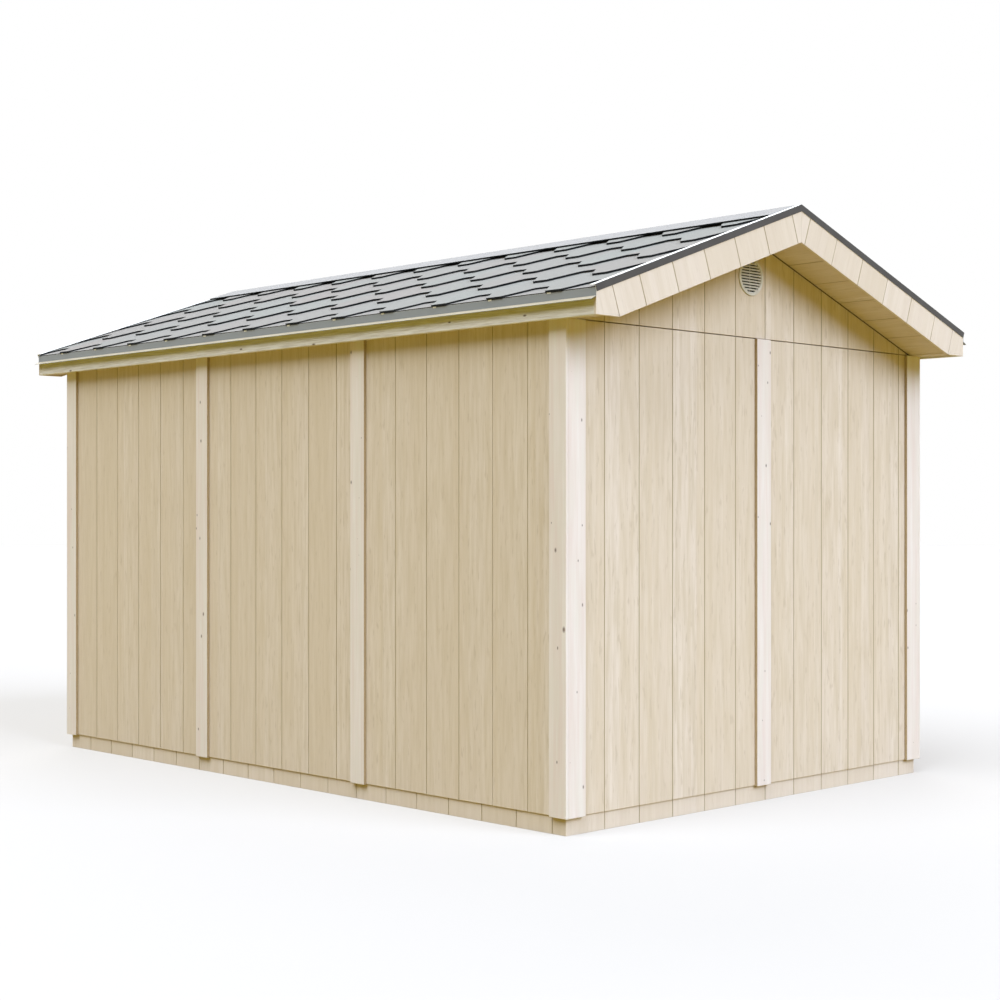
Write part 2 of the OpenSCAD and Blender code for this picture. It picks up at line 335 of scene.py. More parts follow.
side_low, side_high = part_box("right_siding")
for wall in ("left", "right"):
    bm = bmesh.new()
    add_sheets(bm, SIDE_FIRST, (side_low.y, GROOVE_D - side_high.x, side_low.z),
               (side_high.y, -side_low.x, side_high.z))
    grooves = groove_places(SIDE_FIRST, side_low.y, side_high.y)
    mill_grooves(bm, grooves, (1, 0, 0), (0, -1, 0))
    bm.transform(WALLS[wall])
    sheets = make_piece(wall + "_siding_sheets", bm, [wall_plywood], "grooved_siding",
                        wall + "_siding")
    tone_boards(sheets.data, grooves, (0, 1, 0), 3)

# Gables: sheets up to the eaves, and offcuts 4 mm above them that follow the roof deck
SEAM_GAP = 0.004
RIM_LAP = 0.011  # how far the rim of the vent laps the siding

gable_low, gable_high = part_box("back_siding")
seam_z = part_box("back_batten")[1].z
deck_underside = Vector((0, 0, rafter_top.z))
vent_low, vent_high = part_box("gable_vents")
vent_x, vent_z = (vent_low.x + vent_high.x) / 2, (vent_low.z + vent_high.z) / 2
hole_r = (vent_high.x - vent_low.x) / 2 - RIM_LAP


def saw_out(bm, tool):
    """Cuts the shape of a tool out of a mesh; the tool is used up."""
    pair = []
    for name, shape in (("work", bm), ("saw", tool)):
        mesh = bpy.data.meshes.new(name)
        shape.to_mesh(mesh)
        pair.append(bpy.data.objects.new(name, mesh))
        bpy.context.scene.collection.objects.link(pair[-1])
    tool.free()
    step = pair[0].modifiers.new("saw", "BOOLEAN")
    step.object, step.operation, step.solver = pair[1], "DIFFERENCE", "EXACT"
    bpy.context.view_layer.update()
    result = pair[0].evaluated_get(bpy.context.evaluated_depsgraph_get())
    bm.clear()
    bm.from_mesh(result.data)
    for item in pair:
        bpy.data.objects.remove(item)


for wall in ("front", "back"):
    bm = bmesh.new()
    for bottom, top in ((gable_low.z, seam_z), (seam_z + SEAM_GAP, gable_high.z)):
        add_sheets(bm, GABLE_FIRST, (gable_low.x, GROOVE_D - gable_high.y, bottom),
                   (gable_high.x, -gable_low.y, top))
    for side in (-1, 1):
        cut(bm, deck_underside, (side * math.sin(pitch), 0, math.cos(pitch)))
    grooves = groove_places(GABLE_FIRST, gable_low.x, gable_high.x)
    mill_grooves(bm, grooves, (1, 0, 0), (0, -1, 0))
    bmesh.ops.recalc_face_normals(bm, faces=bm.faces[:])
    hole_saw = bmesh.new()
    bmesh.ops.create_cone(hole_saw, cap_ends=True, segments=48, radius1=hole_r, radius2=hole_r,
                          depth=hole_r, matrix=Matrix.Translation((vent_x, -gable_high.y, vent_z))
                          @ Matrix.Rotation(math.radians(90), 4, "X"))
    saw_out(bm, hole_saw)
    bm.transform(WALLS[wall])
    sheets = make_piece(wall + "_siding_sheets", bm, [wall_plywood], "grooved_siding",
                        wall + "_siding")
    tone_boards(sheets.data, grooves, (1, 0, 0), 7)

# Skirts: the same plywood with less of the darker figure, so lighter than the walls: painted
# light of the bounce from the ground
skirt_plywood_painted_light = primed_plywood("primed_plywood_skirt_painted_light", GRAIN_UP, 0.4)
for wall, first in (("left", SIDE_SKIRT_FIRST), ("right", SIDE_SKIRT_FIRST),
                    ("front", GABLE_SKIRT_FIRST), ("back", GABLE_SKIRT_FIRST)):
    low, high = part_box(wall + "_skirt")
    corners = [WALLS[wall].inverted() @ corner for corner in (low, high)]
    low, high = [Vector(map(pick, *corners)) for pick in (min, max)]
    bm = bmesh.new()
    add_block(bm, (low.x, low.y + GROOVE_D, low.z), high)
    grooves = groove_places(first, low.x, high.x)
    mill_grooves(bm, grooves, (1, 0, 0), (0, -1, 0))
    bm.transform(WALLS[wall])
    strip = make_piece(wall + "_skirt_strip", bm, [skirt_plywood_painted_light], "grooved_siding",
                       wall + "_skirt")
    tone_boards(strip.data, grooves, (0, 1, 0) if wall in ("left", "right") else (1, 0, 0), 11)


# ---------------------------------------------------------------------------------------------
# Corner boards and battens: planed pine, 95 by 15 mm, with one thin coat of whitewash. The
# grain shows through as grey and pinkish streaks, the knots bleed through, and the edges beside
# the wall are drawn darker brown, as painted shade. The boards cover the sheet joints. At each
# corner the side board laps the gable board.
# ---------------------------------------------------------------------------------------------

EASED_EDGE = 0.002


def knots(tree, place, turn, across, along, radius):
    """Spots where branches were, of up to that radius: how dark they are, from 0 to 1."""
    draw, distance = cells_of(tree, board_plane(tree, place, turn, across, along))
    reach = between(tree, draw, 0.1, 1.0, 0.0001, radius / across)
    inside = add_node(tree, "Math", {0: distance, 1: reach}, operation="DIVIDE").outputs[0]
    return between(tree, inside, 0.3, 1.0, 1.0, 0.0)


def whitewashed_pine(name, turn):
    """Whitewashed pine: chalky white over streaks 3 and 25 mm wide, with small grey knots."""
    material, tree, place = start_material(name)
    broad = between(tree, streaks(tree, place, turn, 0.025, 0.6, 3.0), 0.35, 0.65)
    fine = between(tree, streaks(tree, place, turn, 0.003, 0.15), 0.3, 0.7)
    tint = between(tree, streaks(tree, place, turn, 0.045, 0.22, 1.0), 0.4, 0.65)
    wash = blend(tree, broad, linear("#e8e1dc"), linear("#e0d2cb"))
    wash = blend(tree, between(tree, tint, 0.0, 1.0, 0.0, 0.5), wash, linear("#dfdad0"))
    wash = blend(tree, between(tree, fine, 0.0, 1.0, 0.0, 0.35), wash, linear("#dccdc3"))
    for across, along, radius in ((0.22, 0.34, 0.010), (0.13, 0.24, 0.006)):
        wash = blend(tree, knots(tree, place, turn, across, along, radius), wash,
                     linear("#83736b"))
    bump = add_node(tree, "Bump", {"Height": fine, "Strength": 0.25, "Distance": 0.0004})
    end_material(tree, add_node(tree, "BsdfPrincipled", {
        "Base Color": wash, "Roughness": 0.62, "IOR": 1.5, "Normal": bump.outputs[0]}))
    return material


def shaded_pine_edge(name):
    """The edge of a trim board beside the wall, drawn darker brown with saw marks, as painted
    shade.
    """
    material, tree, place = start_material(name)
    saw_marks = add_node(tree, "TexNoise", {"Vector": place, "Scale": 90.0}).outputs[0]
    wood = blend(tree, saw_marks, linear("#a89474"), linear("#bda98a"))
    end_material(tree, add_node(tree, "BsdfPrincipled", {
        "Base Color": wood, "Roughness": 0.85, "IOR": 1.5}))
    return material


def add_board(bm, low, high, *shaded_sides):
    """A board between two opposite corners, with eased edges, and painted shade on the sides
    given.
    """
    verts = add_block(bm, low, high)
    bm.normal_update()
    for face in {f for v in verts for f in v.link_faces}:
        if any(face.normal.dot(Vector(side)) > ALIGNED for side in shaded_sides):
            # Painted shade: the sides given take the darker edge material
            face.material_index = 1
    edges = list({e for v in verts for e in v.link_edges})
    bmesh.ops.bevel(bm, geom=edges, offset=EASED_EDGE, offset_type="OFFSET", segments=2,
                    profile=0.5, affect="EDGES", material=-1)


trim_pine = [whitewashed_pine("whitewashed_pine_board", GRAIN_UP),
             shaded_pine_edge("pine_edge_painted_shade")]
trim_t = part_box("right_battens")[1].x - side_high.x

for end, y_side in (("front", -1), ("back", 1)):
    for side, x_side in (("left", -1), ("right", 1)):
        node = f"{end}_{side}_corner_trim"
        low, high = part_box(node)
        bm = bmesh.new()
        outer_x, inner_x = (low.x, high.x) if x_side < 0 else (high.x, low.x)
        outer_y, inner_y = (low.y, high.y) if y_side < 0 else (high.y, low.y)
        seat_x, seat_y = outer_x - x_side * trim_t, outer_y - y_side * trim_t
        for near, far, inward in (((outer_x, inner_y), (seat_x, outer_y), (0, -y_side, 0)),
                                  ((seat_x, seat_y), (inner_x, outer_y), (-x_side, 0, 0))):
            add_board(bm, (min(near[0], far[0]), min(near[1], far[1]), low.z),
                      (max(near[0], far[0]), max(near[1], far[1]), high.z), inward)
        make_piece(f"{end}_{side}_corner_boards", bm, trim_pine, "trim_board", node)

for end in ("front", "back"):
    bm = bmesh.new()
    add_board(bm, *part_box(end + "_batten"), (-1, 0, 0), (1, 0, 0))
    make_piece(end + "_batten_board", bm, trim_pine, "trim_board", end + "_batten")

for side in ("left", "right"):
    low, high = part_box(side + "_battens")
    board_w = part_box("front_batten")[1].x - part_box("front_batten")[0].x
    bm = bmesh.new()
    add_board(bm, low, (high.x, low.y + board_w, high.z), (0, -1, 0), (0, 1, 0))
    add_board(bm, (low.x, high.y - board_w, low.z), high, (0, -1, 0), (0, 1, 0))
    make_piece(side + "_batten_boards", bm, trim_pine, "trim_board", side + "_battens")


# ---------------------------------------------------------------------------------------------
# Roof frame: spruce rafters and a plywood deck nailed on them. The soffits, fascias and
# shingles close them in.
# ---------------------------------------------------------------------------------------------

finish_node(planed_spruce("planed_spruce_rafter", GRAIN_ALONG_X),
            "left_rafters", "right_rafters")
finish_node(raw_plywood("plywood_roof_deck", GRAIN_ALONG_Y),
            "left_roof_deck", "right_roof_deck")


# ---------------------------------------------------------------------------------------------
# Fascias: sawn spruce boards along the eaves, primed thinly, so that saw marks, knots and
# brown growth lines stay plain to see. Each is nailed to the rafter ends, in two lengths.
# ---------------------------------------------------------------------------------------------


def sawn_spruce(name, turn):
    """Thinly primed sawn timber: brown streaks 5 mm wide, and a few small dark knots."""
    material, tree, place = start_material(name)
    broad = between(tree, streaks(tree, place, turn, 0.03, 0.4, 4.0), 0.35, 0.65)
    fine = between(tree, streaks(tree, place, turn, 0.005, 0.12, 3.0), 0.38, 0.66)
    wood = blend(tree, broad, linear("#f0eeec"), linear("#e4e2de"))
    wood = blend(tree, between(tree, fine, 0.0, 1.0, 0.0, 0.5), wood, linear("#b0a494"))
    wood = blend(tree, knots(tree, place, turn, 0.13, 0.33, 0.007), wood, linear("#5a4630"))
    bump = add_node(tree, "Bump", {"Height": fine, "Strength": 0.5, "Distance": 0.0008})
    end_material(tree, add_node(tree, "BsdfPrincipled", {
        "Base Color": wood, "Roughness": 0.8, "IOR": 1.5, "Normal": bump.outputs[0]}))
    return material


FASCIA_JOINT_Y = 0.57
FASCIA_GAP = 0.001
fascia_timber = sawn_spruce("sawn_spruce_fascia", GRAIN_ALONG_Y)
for side in ("left", "right"):
    low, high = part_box(side + "_fascia")
    bm = bmesh.new()
    add_board(bm, low, (high.x, FASCIA_JOINT_Y - FASCIA_GAP, high.z))
    add_board(bm, (low.x, FASCIA_JOINT_Y, low.z), high)
    make_piece(side + "_fascia_boards", bm, [fascia_timber], "fascia_board", side + "_fascia")


# ---------------------------------------------------------------------------------------------
# Barge boards and soffits: strips cut across the same grooved plywood, so that their grooves
# cross the slope. The barge boards hide the rafter ends of each gable and meet in a plumb
# joint at the ridge. The soffits close the overhang, and a dark brown bead in their corner
# along the siding is painted shade.
# ---------------------------------------------------------------------------------------------

# Distances along the slope from the ridge: the first groove and the last one of the long strip
# of a barge board, the joint where an offcut meets it, and the first groove of a soffit
BARGE_FIRST, BARGE_LAST, BARGE_JOINT = 0.073, 1.10, 1.252
SOFFIT_FIRST, SOFFIT_PITCH = 0.055, 0.2
JOINT_GAP = 0.003
# The bead along the siding is painted shade of the joint, drawn dark brown
SHADE_BEAD = 0.0035  # height and width of the bead along the siding

down_slope = Vector((math.cos(pitch), 0, -math.sin(pitch)))
off_slope = Vector((math.sin(pitch), 0, math.cos(pitch)))
ridge = Vector((0, 0, ridge_z))
ridge_offset = ridge.dot(down_slope)
# A frame laid on the right slope: X down the slope from the ridge, Z off the deck
ON_SLOPE = Matrix.Translation(ridge) @ Matrix.Rotation(pitch, 4, "Y")
TURNS = {"right": (0, pitch, 0), "left": (0, -pitch, 0)}
MIRROR = {"left": TO_RIGHT, "right": Matrix.Identity(4)}

barge_low, barge_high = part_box("front_right_barge_board")
barge_t = barge_high.y - barge_low.y
BARGE_DROP = 0.138  # from the top of the deck to the lower edge of the barge board
SOFFIT_DROP = 0.113  # from the top of the deck to the top of the soffit
deck_t = (ridge_z - rafter_top.z) * math.cos(pitch)
SLOPE_REACH = 1.5  # longer than the slope: the strips are cut to length after they are turned
for side in ("left", "right"):
    barge_plywood = primed_plywood(f"primed_plywood_{side}_barge", TURNS[side], 0.35)
    for end in ("front", "back"):
        bm = bmesh.new()
        for start, stop in ((-BARGE_DROP, BARGE_JOINT - JOINT_GAP), (BARGE_JOINT, SLOPE_REACH)):
            add_block(bm, (start, barge_low.y + GROOVE_D, -BARGE_DROP),
                      (stop, barge_high.y, -deck_t))
        bm.transform(ON_SLOPE)
        cut(bm, (0, 0, 0), (-1, 0, 0))
        cut(bm, barge_high, (1, 0, 0))
        cut(bm, barge_low, (0, 0, -1))
        grooves = groove_places(BARGE_FIRST, 0, BARGE_LAST)
        mill_grooves(bm, [g + ridge_offset for g in grooves], down_slope, (0, -1, 0))
        bm.transform(MIRROR[side] @ WALLS[end])
        board = make_piece(f"{end}_{side}_barge_strip", bm, [barge_plywood], "grooved_siding",
                           f"{end}_{side}_barge_board")
        along = MIRROR[side] @ down_slope
        tone_boards(board.data, [g + ridge_offset for g in grooves], along, 13)


def joint_painted_shade(name):
    """A dark brown bead in the joint of soffit and siding, slightly uneven: painted shade."""
    material, tree, place = start_material(name)
    lumps = add_node(tree, "TexNoise", {"Vector": place, "Scale": 60.0}).outputs[0]
    brown = blend(tree, lumps, linear("#3d2f1a"), linear("#57452b"))
    end_material(tree, add_node(tree, "BsdfPrincipled", {
        "Base Color": brown, "Roughness": 0.6, "IOR": 1.5}))
    return material


def join(bm, part):
    """Moves a finished part into the mesh of a larger piece."""
    mesh = bpy.data.meshes.new("part")
    part.to_mesh(mesh)
    part.free()
    bm.from_mesh(mesh)


# The soffits are drawn with more of the darker figure than the walls: painted shade under the
# overhang
soffit_plywood_painted_shade = primed_plywood("primed_plywood_soffit_painted_shade", GRAIN_ALONG_Y, 1.5)
soffit_materials = [soffit_plywood_painted_shade, joint_painted_shade("soffit_joint_painted_shade")]
for side in ("left", "right"):
    for end in ("front", "back"):
        low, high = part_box(f"{end}_right_soffit")
        under = -SOFFIT_DROP - barge_t
        shade_bead_y = high.y - SHADE_BEAD if end == "front" else low.y
        bm, shade_bead = bmesh.new(), bmesh.new()
        add_block(bm, (-BARGE_DROP, low.y, under + GROOVE_D), (SLOPE_REACH, high.y, -SOFFIT_DROP))
        # Painted shade: a dark brown bead in the corner along the siding
        add_block(shade_bead, (-BARGE_DROP, shade_bead_y, under - SHADE_BEAD),
                  (SLOPE_REACH, shade_bead_y + SHADE_BEAD, under))
        for part in (bm, shade_bead):
            part.transform(ON_SLOPE)
            cut(part, (0, 0, 0), (-1, 0, 0))
            cut(part, high, (1, 0, 0))
        for face in shade_bead.faces:
            face.material_index = 1
        grooves = groove_places(SOFFIT_FIRST, 0, SLOPE_REACH, SOFFIT_PITCH)
        mill_grooves(bm, [g + ridge_offset for g in grooves], down_slope, -off_slope)
        join(bm, shade_bead)
        bm.transform(MIRROR[side])
        board = make_piece(f"{end}_{side}_soffit_strip", bm, soffit_materials, "grooved_siding",
                           f"{end}_{side}_soffit")
        along = MIRROR[side] @ down_slope
        tone_boards(board.data, [g + ridge_offset for g in grooves], along, 17)

finish_node(soffit_plywood_painted_shade, "eave_soffits")


# ---------------------------------------------------------------------------------------------
# Drip edges: light grey coated steel, folded to a flange under the shingles, a face down the
# fascia and a lip that kicks the water out.
# ---------------------------------------------------------------------------------------------


def coated_steel(name, colour, rough, top_highlight=0.0):
    """Colour-coated sheet steel: a smooth satin film, clouded a little, and paler and warmer on
    faces that look up, as a painted highlight.
    """
    material, tree, place = start_material(name)
    cloud = add_node(tree, "TexNoise", {"Vector": place, "Scale": 9.0, "Detail": 3.0}).outputs[0]
    film = blend(tree, between(tree, cloud, 0.3, 0.7, 0.0, 0.06), linear(colour),
                 linear("#a9a9a4"))
    facing = add_node(tree, "NewGeometry", {}).outputs["Normal"]
    upward = add_node(tree, "SeparateXYZ", {"Vector": facing}).outputs["Z"]
    # Painted highlight: faces that look up blend toward a pale warm colour
    film = blend(tree, between(tree, upward, 0.2, 0.7, 0.0, top_highlight), film, linear("#bdb096"))
    satin = between(tree, cloud, 0.3, 0.7, rough, rough + 0.1)
    end_material(tree, add_node(tree, "BsdfPrincipled", {
        "Base Color": film, "Roughness": satin, "IOR": 1.5}))
    return material


# The drip edge's upward faces get the painted highlight
finish_node(coated_steel("coated_steel_light_grey", "#84888a", 0.4, 0.9),
            "left_drip_edge", "right_drip_edge")


# ---------------------------------------------------------------------------------------------
# Rake flashings: steel strips nailed over the shingles at each gable. The face stands up as a
# rib and is drawn dark brown, a painted reflection of a dark surround. The flange and the back of
# the face are drawn pale, a painted reflection of the sky.
# ---------------------------------------------------------------------------------------------

STEEL_T = 0.0015
FLANGE_W = 0.028  # how far the flange reaches in over the shingles
RIB_TOP, FACE_DROP = 0.0145, 0.014  # how far the face stands above the deck, and hangs below it
COVER = 0.0132  # height of the flange and of the shingles' butts above the deck

shingle_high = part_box("right_shingles")[1]
eave_s = (shingle_high.x - COVER * math.sin(pitch)) / math.cos(pitch)
rake_y = shingle_high.y
rake_steel = [coated_steel("dark_brown_steel_painted_reflection", "#312c28", 0.45),
              coated_steel("pale_steel_painted_sky_reflection", "#e9e8e4", 0.4)]
for end in ("front", "back"):
    bm = bmesh.new()
    for side in ("left", "right"):
        half = bmesh.new()
        add_block(half, (-RIB_TOP, -rake_y, COVER), (eave_s, FLANGE_W - rake_y, COVER + STEEL_T))
        add_block(half, (-RIB_TOP, -rake_y - STEEL_T, -FACE_DROP), (eave_s, -rake_y, RIB_TOP))
        half.normal_update()
        for face in half.faces:
            # Painted reflection: the flange and the back of the face take the pale steel, the
            # face the dark
            back = face.calc_center_median().y > -rake_y - STEEL_T / 2 or face.normal.z > ALIGNED
            face.material_index = 1 if back else 0
        half.transform(ON_SLOPE)
        cut(half, (0, 0, 0), (-1, 0, 0))
        half.transform(MIRROR[side] @ WALLS[end])
        join(bm, half)
    make_piece(end + "_rake_flashing_strip", bm, rake_steel, "rake_metal",
               end + "_rake_flashing")


# ---------------------------------------------------------------------------------------------
# Shingles: glass felt in bitumen with light grey mineral granules. Each strip has tabs with
# slanted sides, and the next strip is nailed so that its tabs show a full course. The cut
# edges are bare black bitumen. A plain starter strip lies under the lowest course.
# ---------------------------------------------------------------------------------------------

# The part of a strip that shows; the pitch, straight edge and height of its tabs, and where the
# middle of one tab is along the roof
COURSE = 0.2671
TAB_PITCH, TAB_FLAT, TAB_H = 0.3344, 0.0795, 0.1206
TAB_CENTRE = -0.5314
TAB_STEP = 0.0106  # how far each course is moved along from the one below it
BUTT = 0.0090  # how far the lower edge of a course stands above the course below
SHINGLE_H = COURSE + TAB_H
TRIMMED = 0.0076  # cut off the lowest course, level with the eave
GRANULE_TILT = 0.7  # faces that look up more than this are the granule side


def granules(name, pale, dark, warm):
    """Mineral granules of 1 to 2 mm, drawn 4 mm wide so that they show, in greys."""
    material, tree, place = start_material(name)
    grit = add_node(tree, "TexNoise", {"Vector": place, "Scale": 250.0, "Detail": 2.0}).outputs[0]
    cloud = add_node(tree, "TexNoise", {"Vector": place, "Scale": 6.0, "Detail": 3.0}).outputs[0]
    tone = add_node(tree, "Attribute", {}, attribute_name="tab_tone").outputs["Fac"]
    colour = blend(tree, between(tree, grit, 0.35, 0.65), linear(dark), linear(pale))
    colour = blend(tree, between(tree, cloud, 0.35, 0.65, 0.0, 0.3), colour, linear(dark))
    colour = blend(tree, tone, colour, linear(warm))
    bump = add_node(tree, "Bump", {"Height": grit, "Strength": 0.4, "Distance": 0.001})
    end_material(tree, add_node(tree, "BsdfPrincipled", {
        "Base Color": colour, "Roughness": 0.9, "IOR": 1.5, "Normal": bump.outputs[0]}))
    return material


def bare_bitumen(name):
    """The cut edge and the underside of the felt: black bitumen, rough, with a dull shine."""
    material, tree, place = start_material(name)
    grain = add_node(tree, "TexNoise", {"Vector": place, "Scale": 180.0}).outputs[0]
    black = blend(tree, grain, linear("#0d0e0f"), linear("#1c1e1f"))
    end_material(tree, add_node(tree, "BsdfPrincipled", {
        "Base Color": black, "Roughness": 0.8, "IOR": 1.5, "Specular IOR Level": 0.2}))
    return material


def tab_corner_highlight(name):
    """A small white patch at the corner of a tab: a painted highlight."""
    material, tree, place = start_material(name)
    crease = add_node(tree, "TexNoise", {"Vector": place, "Scale": 300.0}).outputs[0]
    film = blend(tree, crease, linear("#eef0f6"), linear("#fafbff"))
    end_material(tree, add_node(tree, "BsdfPrincipled", {
        "Base Color": film, "Roughness": 0.3, "IOR": 1.58}))
    return material


shingle_felt = [granules("mineral_granules_grey", "#8f8f89", "#81827c", "#8a847e"),
                bare_bitumen("bare_bitumen_edge"), tab_corner_highlight("tab_corner_painted_highlight")]


def lay_strip(bm, chain, top_x, top_of, bottom_of):
    """A strip of felt from its lower edge, a chain of points, up to top_x on the slope."""
    lower = [bm.verts.new(point) for point in chain]
    edges = [bm.edges.new(pair) for pair in zip(lower, lower[1:])]
    upper = bmesh.ops.extrude_edge_only(bm, edges=edges)["geom"]
    for v in upper:
        if isinstance(v, bmesh.types.BMVert):
            v.co.x = top_x
    faces = [g for g in upper if isinstance(g, bmesh.types.BMFace)]
    under = bmesh.ops.extrude_face_region(bm, geom=faces)["geom"]
    under = [g for g in under if isinstance(g, bmesh.types.BMVert)]
    for v in {v for f in faces for v in f.verts}:
        v.co.z = top_of(v.co.x)
    for v in under:
        v.co.z = bottom_of(v.co.x)


STARTER_BACK, STARTER_TOP = 0.006, 0.005  # set back from the tabs, and its height there
CORNER_PATCH = Vector((0.0012, 0.020, 0.018))  # thickness, width and height of the white corner patch, a painted highlight

slant = (TAB_PITCH - 2 * TAB_FLAT) / 2
outline = [(-TAB_FLAT / 2 - slant, TAB_H), (-TAB_FLAT / 2, 0),
           (TAB_FLAT / 2, 0), (TAB_FLAT / 2 + slant, TAB_H)]
first_butt = eave_s + TRIMMED
courses = math.ceil(first_butt / COURSE) - 1
side_tabs = math.ceil(rake_y / TAB_PITCH) + 1


def tab_middle(course, tab):
    """How far along the roof the middle of a tab is; tab 0 is the one nearest the middle."""
    return (TAB_CENTRE - course * TAB_STEP) % TAB_PITCH + tab * TAB_PITCH


for side in ("left", "right"):
    bm = bmesh.new()
    # Starter strip: straight, and set back a little under the lowest tabs
    starter = eave_s - STARTER_BACK
    lay_strip(bm, [(starter, -rake_y, 0), (starter, rake_y, 0)], starter - TAB_H,
              lambda x: STEEL_T + (STARTER_TOP - STEEL_T) * (x - starter + TAB_H) / TAB_H,
              lambda x: STEEL_T * (x - starter + TAB_H) / TAB_H)
    for course in range(courses):
        butt_s = first_butt - course * COURSE
        chain = [(butt_s - rise, tab_middle(course, tab) + step, 0)
                 for tab in range(-side_tabs, side_tabs) for step, rise in outline]
        lay_strip(bm, chain, butt_s - SHINGLE_H,
                  lambda x: COVER - BUTT * (butt_s - x) / COURSE,
                  lambda x: (COVER - BUTT) * (1 - (butt_s - x) / SHINGLE_H))
    for point, direction in (((0, rake_y, 0), (0, 1, 0)), ((0, -rake_y, 0), (0, -1, 0)),
                             ((BUTT, 0, 0), (-1, 0, 0)), ((eave_s, 0, 0), (1, 0, 0))):
        cut(bm, point, direction)
    bmesh.ops.recalc_face_normals(bm, faces=bm.faces[:])
    for face in bm.faces:
        face.material_index = 0 if face.normal.z > GRANULE_TILT else 1
    # A white patch at the far corner of each of the lowest tabs is a painted highlight
    for tab in range(1 - side_tabs, side_tabs - 1):
        corner = Vector((eave_s - STEEL_T, tab_middle(0, tab) + TAB_FLAT / 2, COVER - BUTT))
        if abs(corner.y) < rake_y - FLANGE_W:
            for vert in add_block(bm, corner - CORNER_PATCH, corner):
                for face in vert.link_faces:
                    face.material_index = 2
    bm.transform(MIRROR[side] @ ON_SLOPE)
    felt = make_piece(side + "_shingle_courses", bm, shingle_felt, "roof_shingle",
                      side + "_shingles")
    draw = random.Random(19)
    tab_tones = [[draw.uniform(0, 1) for _ in range(2 * side_tabs)] for _ in range(courses + 1)]
    marks = felt.data.attributes.new("tab_tone", "FLOAT", "FACE")
    for face in felt.data.polygons:
        row = math.floor((eave_s - abs(face.center.x) / math.cos(pitch)) / COURSE)
        tab = math.floor((face.center.y - tab_middle(row, 0)) / TAB_PITCH + 0.5)
        marks.data[face.index].value = tab_tones[row][tab % (2 * side_tabs)]


# ---------------------------------------------------------------------------------------------
# Ridge cap: one strip of the same felt in double thickness, warmed and bent over the ridge. It
# laps the highest courses, and runs between the rake flashings.
# ---------------------------------------------------------------------------------------------

CAP_T = 0.005
CAP_BEND = 0.03

cap_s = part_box("ridge_cap")[1].x / math.cos(pitch)
cap_y = rake_y - FLANGE_W
bm = bmesh.new()
profile = [bm.verts.new(MIRROR[side] @ ON_SLOPE @ Vector((reach, -cap_y, COVER + CAP_T)))
           for side, reach in (("left", cap_s), ("right", -math.tan(pitch) * (COVER + CAP_T)),
                               ("right", cap_s))]
profile = [bm.edges.new(pair) for pair in zip(profile, profile[1:])]
wings = bmesh.ops.extrude_edge_only(bm, edges=profile)["geom"]
bmesh.ops.translate(bm, verts=[g for g in wings if isinstance(g, bmesh.types.BMVert)],
                    vec=(0, 2 * cap_y, 0))
fold = [e for e in bm.edges if len(e.link_faces) == 2]
bmesh.ops.bevel(bm, geom=fold, offset=CAP_BEND, offset_type="OFFSET", segments=5,
                profile=0.5, affect="EDGES", material=-1)
bmesh.ops.recalc_face_normals(bm, faces=bm.faces[:])
if sum(f.normal.z for f in bm.faces) < 0:
    bmesh.ops.reverse_faces(bm, faces=bm.faces[:])
bmesh.ops.solidify(bm, geom=bm.faces[:], thickness=CAP_T)
bmesh.ops.recalc_face_normals(bm, faces=bm.faces[:])
for face in bm.faces:
    under = face.normal.z < GRANULE_TILT and abs(face.calc_center_median().y) < cap_y - CAP_T
    face.material_index = 1 if under else 0
cap_felt = [granules("mineral_granules_cap", "#a29f9c", "#979490", "#9e9a95"), shingle_felt[1]]
make_piece("ridge_cap_strip", bm, cap_felt, "roof_shingle", "ridge_cap")


# ---------------------------------------------------------------------------------------------
# Gable vents: round vents moulded in off-white plastic, 164 mm across. A thick rim laps the
# siding, eleven slots with round ends cross the plate, and a tilted blade behind each bar sheds
# the rain. A dark insect screen closes the sleeve.
# ---------------------------------------------------------------------------------------------

RIM_W, RIM_T, RIM_EASE = 0.014, 0.006, 0.002
PLATE_T = 0.003
SLOT_N, SLOT_PITCH, SLOT_H, SLOT_R = 11, 0.01235, 0.0065, 0.0672
SLOT_ROUND = 0.0032  # radius of the ends of a slot, just under half its height
BLADE_T, BLADE_DEPTH, BLADE_TILT = 0.0015, 0.011, math.radians(35)
BRACE_W = 0.0025
SLEEVE_T = 0.003


def moulded_plastic(name):
    """Moulded weatherproof plastic: smooth, slightly waxy, yellowed a little by the sun."""
    material, tree, place = start_material(name)
    cloud = add_node(tree, "TexNoise", {"Vector": place, "Scale": 25.0, "Detail": 2.0}).outputs[0]
    tint = blend(tree, between(tree, cloud, 0.35, 0.65), linear("#d3d0c8"), linear("#c9c4b8"))
    end_material(tree, add_node(tree, "BsdfPrincipled", {
        "Base Color": tint, "Roughness": 0.45, "IOR": 1.53}))
    return material


def insect_screen(name):
    """Black polyester gauze: threads 1.5 mm apart, which leave it dark with a faint grid."""
    material, tree, place = start_material(name)
    threads = add_node(tree, "TexChecker", {"Vector": place, "Scale": 650.0}).outputs["Fac"]
    gauze = blend(tree, threads, linear("#2b2822"), linear("#3a362e"))
    end_material(tree, add_node(tree, "BsdfPrincipled", {
        "Base Color": gauze, "Roughness": 0.9, "IOR": 1.5}))
    return material


vent_r = (vent_high.x - vent_low.x) / 2
rim_in_r = vent_r - RIM_W
ACROSS_WALL = Matrix.Rotation(math.radians(90), 4, "X")


def add_disc(bm, radius, front, depth):
    """A round disc whose face is that far in front of the wall, drawn with the face at -Y."""
    return bmesh.ops.create_cone(
        bm, cap_ends=True, segments=64, radius1=radius, radius2=radius, depth=depth,
        matrix=Matrix.Translation((0, depth / 2 - front, 0)) @ ACROSS_WALL)["verts"]


